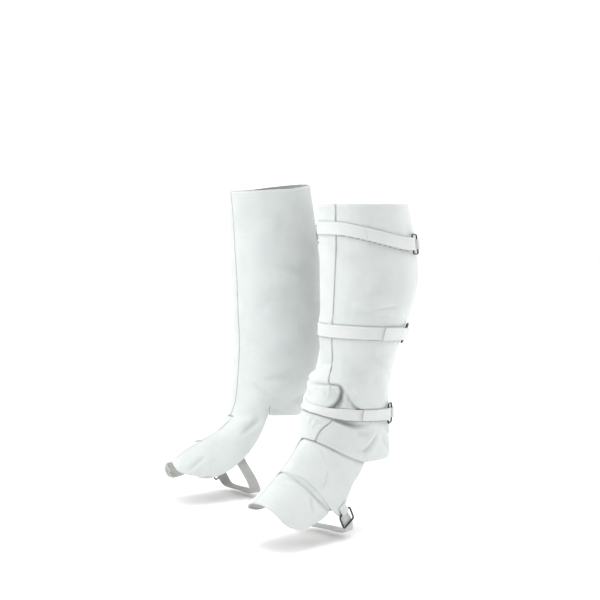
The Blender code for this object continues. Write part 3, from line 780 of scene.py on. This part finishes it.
def pinched(points, side, free):
    """Points of a strap drawn closer to its middle line, most at the front of the leg."""
    turn, down, _ = leg_place(points, SIDES[side])
    slices = np.round(turn / 6).astype(int)
    middle = {cut: down[slices == cut].mean() for cut in set(slices)}
    cuts = np.array(sorted(middle))
    off = down - np.interp(turn / 6, cuts, [middle[cut] for cut in cuts])
    share = PINCH_FRONT + (PINCH_SIDE - PINCH_FRONT) * softstep(turn, 0, 50)
    share = 1 - (1 - share) * free * softstep(turn, -110, -70)
    way = along_line(line_way, leg_frame(points, SIDES[side])[0])
    way = in_world(SIDES[side], np.zeros(len(points)), way[:, 0], way[:, 1])
    return points - way * (off * (1 - share) * MM)[:, None]


def add_piece(obj, node, material):
    """Gives the piece its finish, hangs it under the root body, hides its solid and keeps it with the pieces.
    """
    obj.data.materials.append(material)
    obj.data.shade_smooth()
    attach(obj, "root")
    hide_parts(node)
    pieces[obj.name] = obj
    return obj


def box_middle(node):
    low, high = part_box(node)
    return (low + high) / 2


STRAP_RIM = 0.3           # how much of the raw edge's grey a strap's edge shows


def strap_piece(side, part):
    node = f"{side}_{part}"
    bm = merged_copy(node)
    spots = rim_points(bm)
    ring_rims(bm, 0.9)
    obj = subdivided(f"{node}_leather", bm, 2)
    mesh = obj.data
    points = mesh_points(mesh)
    _, _, outward = leg_place(points, SIDES[side])
    wander = np.array([noise.noise(Vector(point) * 60.0) for point in points])
    move = STRAP_WANDER * wander
    if part in STRAPS:
        buckle = box_middle(f"{side}_buckle_{part.split('_')[1]}")
        away = np.linalg.norm(points - np.array(buckle), axis=1) / MM
        free = softstep(away, 14, 30)
        move = move - STRAP_DROP * free
        if (side, part) == ("left", "strap_ankle"):
            points = pinched(points, side, free)
    put_points(mesh, points + outward * (move * MM)[:, None])
    store(mesh, "rim", STRAP_RIM * np.exp(-(distances(points, spots) / 0.7) ** 2))
    store(mesh, "trough", np.zeros(len(points)))
    # the underfoot strap is greyed: wear, and painted shade on the right one
    store(mesh, "grime", np.full(len(points), 0.0 if part in STRAPS else UNDERFOOT_WEAR_AND_SHADE[side]))
    return add_piece(obj, node, strap_leather)


for side in SIDES:
    for part in STRAPS + ("underfoot_strap",):
        made = strap_piece(side, part)
    print(side, "straps and chapes done,", made.name, len(made.data.polygons), "faces")

# %% [markdown]
# ## The panels and flaps
# Four pieces of split leather make one spat: the inner panel with half of the flap, the outer panel, the
# instep band and the toe piece. Each is the rounded copy of its solid, then pushed in and out by the fold
# table. A strap presses the leather flat, so folds fade where a strap lies.
# %% Shells of split leather
UNEVEN = 0.35             # millimetres that the leather wanders in and out over a few centimetres


def strap_tree(side):
    """The surface of all finished straps that lie on one spat."""
    bm = bmesh.new()
    for part in STRAPS:
        bm.from_mesh(pieces[f"{side}_{part}_leather"].data)
    return BVHTree.FromBMesh(bm)


def clearance(points, tree):
    """How far each point lies from the straps, in millimetres, up to 40, and whether it lies below them."""
    out, below = np.full(len(points), 40.0), np.zeros(len(points))
    for index, point in enumerate(points):
        found = tree.find_nearest(point, 0.04)
        if found[0] is not None:
            out[index] = found[3] / MM
            below[index] = (found[0].z - point[2]) / MM
    return out, softstep(below, 0.0, 0.8)


EDGE_ROLL = 0.55          # millimetres that a cut edge curls in
PUFF = 0.9                # millimetres that leather swells beside a tight strap
CROWD = 1.1               # millimetres that it crowds up against a strap's upper edge
SEAM_WIDE = 1.35          # millimetres of a seam darkened by painted shade


# Painted shadow on the leather beside a strap, mostly below it: its strength above and below the strap, how
# far it is full and how far it fades, in millimetres
SHADOW_ABOVE, SHADOW_BELOW, SHADOW_NEAR, SHADOW_FADE = 0.05, 0.75, 0.7, 1.3


def seam_shade(turn, down):
    """Painted shade in a seam at each point: full down the front, weaker round the instep and at the toe."""
    on_instep = 0.95 - 0.55 * softstep(turn, 40, 66)
    shade = np.where(down < 452, 1.15, on_instep)
    return np.where(down > 505, 0.30, shade)


def shell(side, part, straps, skin, rims):
    node = f"{side}_{part}"
    bm = merged_copy(node, INSTEP_MERGE if part == "instep_band" else MERGE)
    spots = rims[part]
    ring_rims(bm, 1.3)
    obj = subdivided(f"{node}_leather", bm, 2)
    add_detail(obj, side, straps)
    mesh = obj.data
    undragged = mesh_points(mesh)
    points = dragged(undragged, side, skin)
    turn, down, outward = leg_place(points, SIDES[side])
    from_strap, below_strap = clearance(points, straps)
    free = softstep(from_strap, 1.5, 9.0)
    folds = fold_height(side, turn, down)
    creases = crease_height(side, turn, down)
    puff = PUFF * np.exp(-((from_strap - 7.0) / 4.0) ** 2)
    puff += CROWD * (1 - below_strap) * np.exp(-((from_strap - 2.6) / 1.8) ** 2)
    wander = np.array([noise.noise(Vector(point) * 38.0) + 0.5 * noise.noise(Vector(point) * 95.0)
                       for point in points])
    from_rim = distances(undragged, spots)
    from_seam = distances(undragged, [spot for other in PANELS if other != part for spot in rims[other]])
    roll = EDGE_ROLL * np.exp(-(from_rim / 0.9) ** 2)
    move = (folds * free + creases + puff + UNEVEN * wander * (0.35 + 0.65 * free) - roll) * MM
    points = points + outward * move[:, None]
    put_points(mesh, points)
    # painted shadow beside a strap, strongest below it
    beside = np.exp(-(np.maximum(from_strap - SHADOW_NEAR, 0) / SHADOW_FADE) ** 2)
    strap_shadow = (SHADOW_ABOVE + SHADOW_BELOW * below_strap) * beside
    # the inner wall gets the flesh side's tone with painted shade for the hollow
    normals = np.array([vert.normal for vert in mesh.vertices])
    facing_in = softstep(-(normals * leg_place(points, SIDES[side])[2]).sum(axis=1), 0.2, 0.6)
    store(mesh, "inside", facing_in)
    store(mesh, "rim", np.exp(-(from_rim / 1.3) ** 2))
    # painted shade in the troughs of folds and creases
    store(mesh, "trough", np.clip(-(folds * free + creases) / 6.0 - 0.05, 0, 1.0))
    # painted shade along the seams
    grime = seam_shade(turn, down) * np.exp(-(from_seam / SEAM_WIDE) ** 2)
    store(mesh, "grime", np.minimum(np.maximum(grime, strap_shadow), 1.0))
    return add_piece(obj, node, split_leather)


skins = {side: panel_tree(side) for side in SIDES}
for side in SIDES:
    straps = strap_tree(side)
    rims = {}
    for part in PANELS:
        bm = merged_copy(f"{side}_{part}")
        rims[part] = rim_points(bm)
        bm.free()
    for part in PANELS:
        made = shell(side, part, straps, skins[side], rims)
        print(made.name, len(made.data.polygons), "faces")

# %% [markdown]
# ## Black wire buckles
# Each buckle is one rectangle of round steel wire, enamelled black. The solid has few sides, so its copy
# is subdivided until it is round. Enamel is smooth and a little glossy, and rubbed through in small spots.
# %% Wire and its enamel
def enamel():
    """Black enamel with smears of wear, rubbed through to grey in small spots."""
    material = bpy.data.materials.new("black enamel")
    material.use_nodes = True
    node = graph_tools(material.node_tree)
    tree = material.node_tree
    shader = tree.nodes["Principled BSDF"]
    place = node("ShaderNodeTexCoord").outputs["Object"]
    spots = node("ShaderNodeTexNoise", Vector=place, Scale=900.0, Detail=4.0)
    smears = node("ShaderNodeTexNoise", Vector=place, Scale=140.0, Detail=3.0)
    rubbed = node("ShaderNodeMapRange", Value=spots.outputs[0], n1=0.66, n2=0.72)
    tone = node("ShaderNodeMix", {"data_type": "RGBA"}, Factor=rubbed.outputs[0])
    tone.inputs[6].default_value = (0.012, 0.012, 0.014, 1)
    tone.inputs[7].default_value = (0.11, 0.11, 0.115, 1)
    tree.links.new(tone.outputs[2], shader.inputs["Base Color"])
    dull = node("ShaderNodeMapRange", Value=smears.outputs[0], n1=0.3, n2=0.7, n3=0.26, n4=0.44)
    tree.links.new(dull.outputs[0], shader.inputs["Roughness"])
    relief = node("ShaderNodeBump", Strength=0.15, Distance=0.0001, Height=smears.outputs[0])
    tree.links.new(relief.outputs[0], shader.inputs["Normal"])
    return material


black_enamel = enamel()
for side in SIDES:
    for part in BUCKLES:
        node = f"{side}_{part}"
        made = subdivided(f"{node}_wire", merged_copy(node), 1)
        add_piece(made, node, black_enamel)
    print(side, "wire buckles done,", made.name, len(made.data.polygons), "faces")

# %% [markdown]
# ## Rows of stitches
# Thread is what holds the pieces together, and its rows tell a seam from a fold. A stitch is a short round
# bead of thread, sunk a little into the leather. Each row follows the rim of its piece at a fixed distance,
# found on the finished surface, so the row bends with every fold.
# %% Stitch rows
# In millimetres: from one stitch to the next, and a stitch's own length, width and height
STITCH_PITCH, STITCH_LENGTH, STITCH_WIDE, STITCH_HIGH = 3.4, 2.5, 0.75, 0.5


def outer_rim(node, side):
    """The outer rim of a panel: for each rim point, its place and the direction into the panel."""
    bm = merged_copy(node)
    bm.normal_update()
    crease = bm.edges.layers.float["crease_edge"]
    spots = {}
    links = {}
    for edge in bm.edges:
        if edge[crease] <= 0 or len(edge.link_faces) != 2:
            continue
        middle = (edge.verts[0].co + edge.verts[1].co) / 2
        outward = Vector(leg_place(np.array([middle]), SIDES[side])[2][0])
        facing = [face.normal.dot(outward) for face in edge.link_faces]
        if max(facing) < 0.55 or min(facing) > 0.5:
            continue
        band = edge.link_faces[facing.index(min(facing))]
        for vert, other in (edge.verts, reversed(edge.verts)):
            spots.setdefault(vert.index, [vert.co.copy(), Vector()])[1] -= band.normal
            links.setdefault(vert.index, []).append(other.index)
    bm.free()
    return spots, links


def rim_chains(spots, links, wanted):
    """Ordered runs of rim points for which wanted(point, inward) holds."""
    kept = {index for index, (point, inward) in spots.items() if inward.length > 0 and wanted(point, inward)}
    ends = [i for i in kept if sum(j in kept for j in links[i]) < 2] + sorted(kept)
    seen, chains = set(), []
    for start in ends:
        if start in seen:
            continue
        chain, here = [], start
        while here is not None:
            seen.add(here)
            chain.append(spots[here])
            here = next((j for j in links[here] if j in kept and j not in seen), None)
        if len(chain) > 1:
            chains.append(chain)
    return chains


def add_row(bm, tree, side, chain, inset, piece_is_panel):
    """Stitches along one chain, inset millimetres into the piece, laid on its finished surface."""
    places = [point + inward.normalized() * inset * MM for point, inward in chain]
    if piece_is_panel:
        places = [Vector(place) for place in dragged(np.array(places), side, skins[side])]
    lengths = [(b - a).length for a, b in zip(places, places[1:])]
    total, count = sum(lengths), 0
    steps = max(1, int(total / (STITCH_PITCH * MM)))
    for k in range(steps):
        wanted = (k + 0.5) * total / steps
        for (a, b), length in zip(zip(places, places[1:]), lengths):
            if wanted <= length:
                break
            wanted -= length
        spot, way = a.lerp(b, wanted / max(length, 1e-9)), (b - a).normalized()
        outward = Vector(leg_place(np.array([spot]), SIDES[side])[2][0])
        hit, normal, _, _ = tree.ray_cast(spot + outward * 8 * MM, -outward, 14 * MM)
        if hit is None:
            continue
        way = (way - normal * way.dot(normal)).normalized()
        wide = normal.cross(way)
        turn = Matrix((way, wide, normal)).transposed().to_4x4()
        size = Matrix.Diagonal((STITCH_LENGTH / 2 * MM, STITCH_WIDE / 2 * MM, STITCH_HIGH / 2 * MM, 1))
        bmesh.ops.create_uvsphere(bm, u_segments=6, v_segments=5, radius=1,
                                  matrix=Matrix.Translation(hit + normal * 0.1 * MM) @ turn @ size)
        count += 1
    return count


def in_leg(point, inward, side):
    """(turn, down, lead) of a rim point: lead is 1 where the piece lies down the leg from its rim."""
    turn, down, _ = leg_place(np.array([point]), SIDES[side])
    return float(turn[0]), float(down[0]), inward.normalized().dot(way_down(point, SIDES[side]))


def leather_tree(name):
    """The surface of one finished piece."""
    bm = bmesh.new()
    bm.from_mesh(pieces[name].data)
    tree = BVHTree.FromBMesh(bm)
    bm.free()
    return tree


def sew(side, part, rows):
    """Adds the rows of one panel: each has a test for its part of the rim, and its insets."""
    node = f"{side}_{part}"
    spots, links = outer_rim(node, side)
    tree = leather_tree(f"{node}_leather")
    bm = bmesh.new()
    count = 0
    for wanted, insets in rows:
        chains = rim_chains(spots, links, lambda point, inward: wanted(*in_leg(point, inward, side)))
        for chain in chains:
            for inset in insets:
                count += add_row(bm, tree, side, chain, inset, part in PANELS)
    thread = link_mesh(f"{node}_stitches", bm)
    thread.data.materials.append(thread_white)
    thread.data.shade_smooth()
    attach(thread, "root")
    print(thread.name, count, "stitches")
    return thread


def at_seam(turn, down, lead):
    return abs(turn) < 60 and abs(lead) < 0.6


def at_upper_edge(turn, down, lead):
    return lead > 0.6


def at_hem(turn, down, lead):
    return lead < -0.6


def all_round(turn, down, lead):
    return True


for side in SIDES:
    sew(side, "outer_panel", [(at_seam, (2.2,)), (at_hem, (3.0,)),
                                                             (at_upper_edge, (3.0,))])
    sew(side, "inner_panel", [(at_upper_edge, (3.0,)), (at_hem, (3.0,))])
    sew(side, "instep_band", [(at_upper_edge, (1.8, 4.4))])
    sew(side, "toe_piece", [(at_upper_edge, (1.8, 4.4)), (at_hem, (3.0,))])
    for part in STRAPS:
        sew(side, part, [(all_round, (1.9,))])

# %% [markdown]
# ## Flat sizes of the leather
# A pattern cutter knows each piece by its flat size. There was no pattern to follow, so these sizes were
# read off the finished pieces. The share printed here shows that they still agree with the pieces, and
# doesn't prove the cut. The near ankle strap's length is that of the strap before it was pinched.
# %% Flat sizes
Cut = namedtuple("Cut", "part width length area held rests_on")
STRAP_CUT = 0.0175
TUBE = ("inner_panel", "outer_panel")
PANEL_CUTS = {
    "left": (
        Cut("inner_panel", 0.321, 0.529, 0.1102, "draped", ("outer_panel",)),
        Cut("outer_panel", 0.164, 0.380, 0.0526, "draped", ("inner_panel",)),
        Cut("instep_band", 0.121, 0.104, 0.0087, "draped", TUBE),
        Cut("toe_piece", 0.094, 0.088, 0.0070, "draped", ("instep_band",)),
    ),
    "right": (
        Cut("inner_panel", 0.220, 0.562, 0.0877, "draped", ("outer_panel",)),
        Cut("outer_panel", 0.236, 0.406, 0.0853, "draped", ("inner_panel",)),
        Cut("instep_band", 0.106, 0.111, 0.0083, "draped", TUBE),
        Cut("toe_piece", 0.087, 0.080, 0.0059, "draped", ("instep_band",)),
    ),
}
# The lengths of the straps and chapes, in the order of STRAPS, and what each one lies on
STRAP_LENGTHS = {"left": (0.304, 0.267, 0.299, 0.052, 0.046, 0.043),
                 "right": (0.235, 0.218, 0.204, 0.051, 0.047, 0.045)}
UNDERFOOT_LENGTH = 0.200


def strap_cuts(side):
    """The cuts of one spat's straps and chapes, and of its underfoot strap."""
    for part, length in zip(STRAPS, STRAP_LENGTHS[side]):
        under = TUBE if side == "left" and part.startswith("strap") else ("outer_panel",)
        yield Cut(part, STRAP_CUT, length, None, "stretched", under)
    yield Cut("underfoot_strap", STRAP_CUT, UNDERFOOT_LENGTH, None, "hung", ("underfoot_buckle",))


CUTS = {side: (*PANEL_CUTS[side], *strap_cuts(side)) for side in SIDES}
for side, cuts in CUTS.items():
    for cut in cuts:
        piece = pieces[f"{side}_{cut.part}_leather"]
        area = sum(face.area for face in piece.data.polygons) / 2
        [f"{side}_{part}_leather" if part in PANELS else f"{side}_{part}"
                           for part in cut.rests_on]
        print(piece.name, "share of its flat area", round(area / (cut.area or cut.width * cut.length), 2))
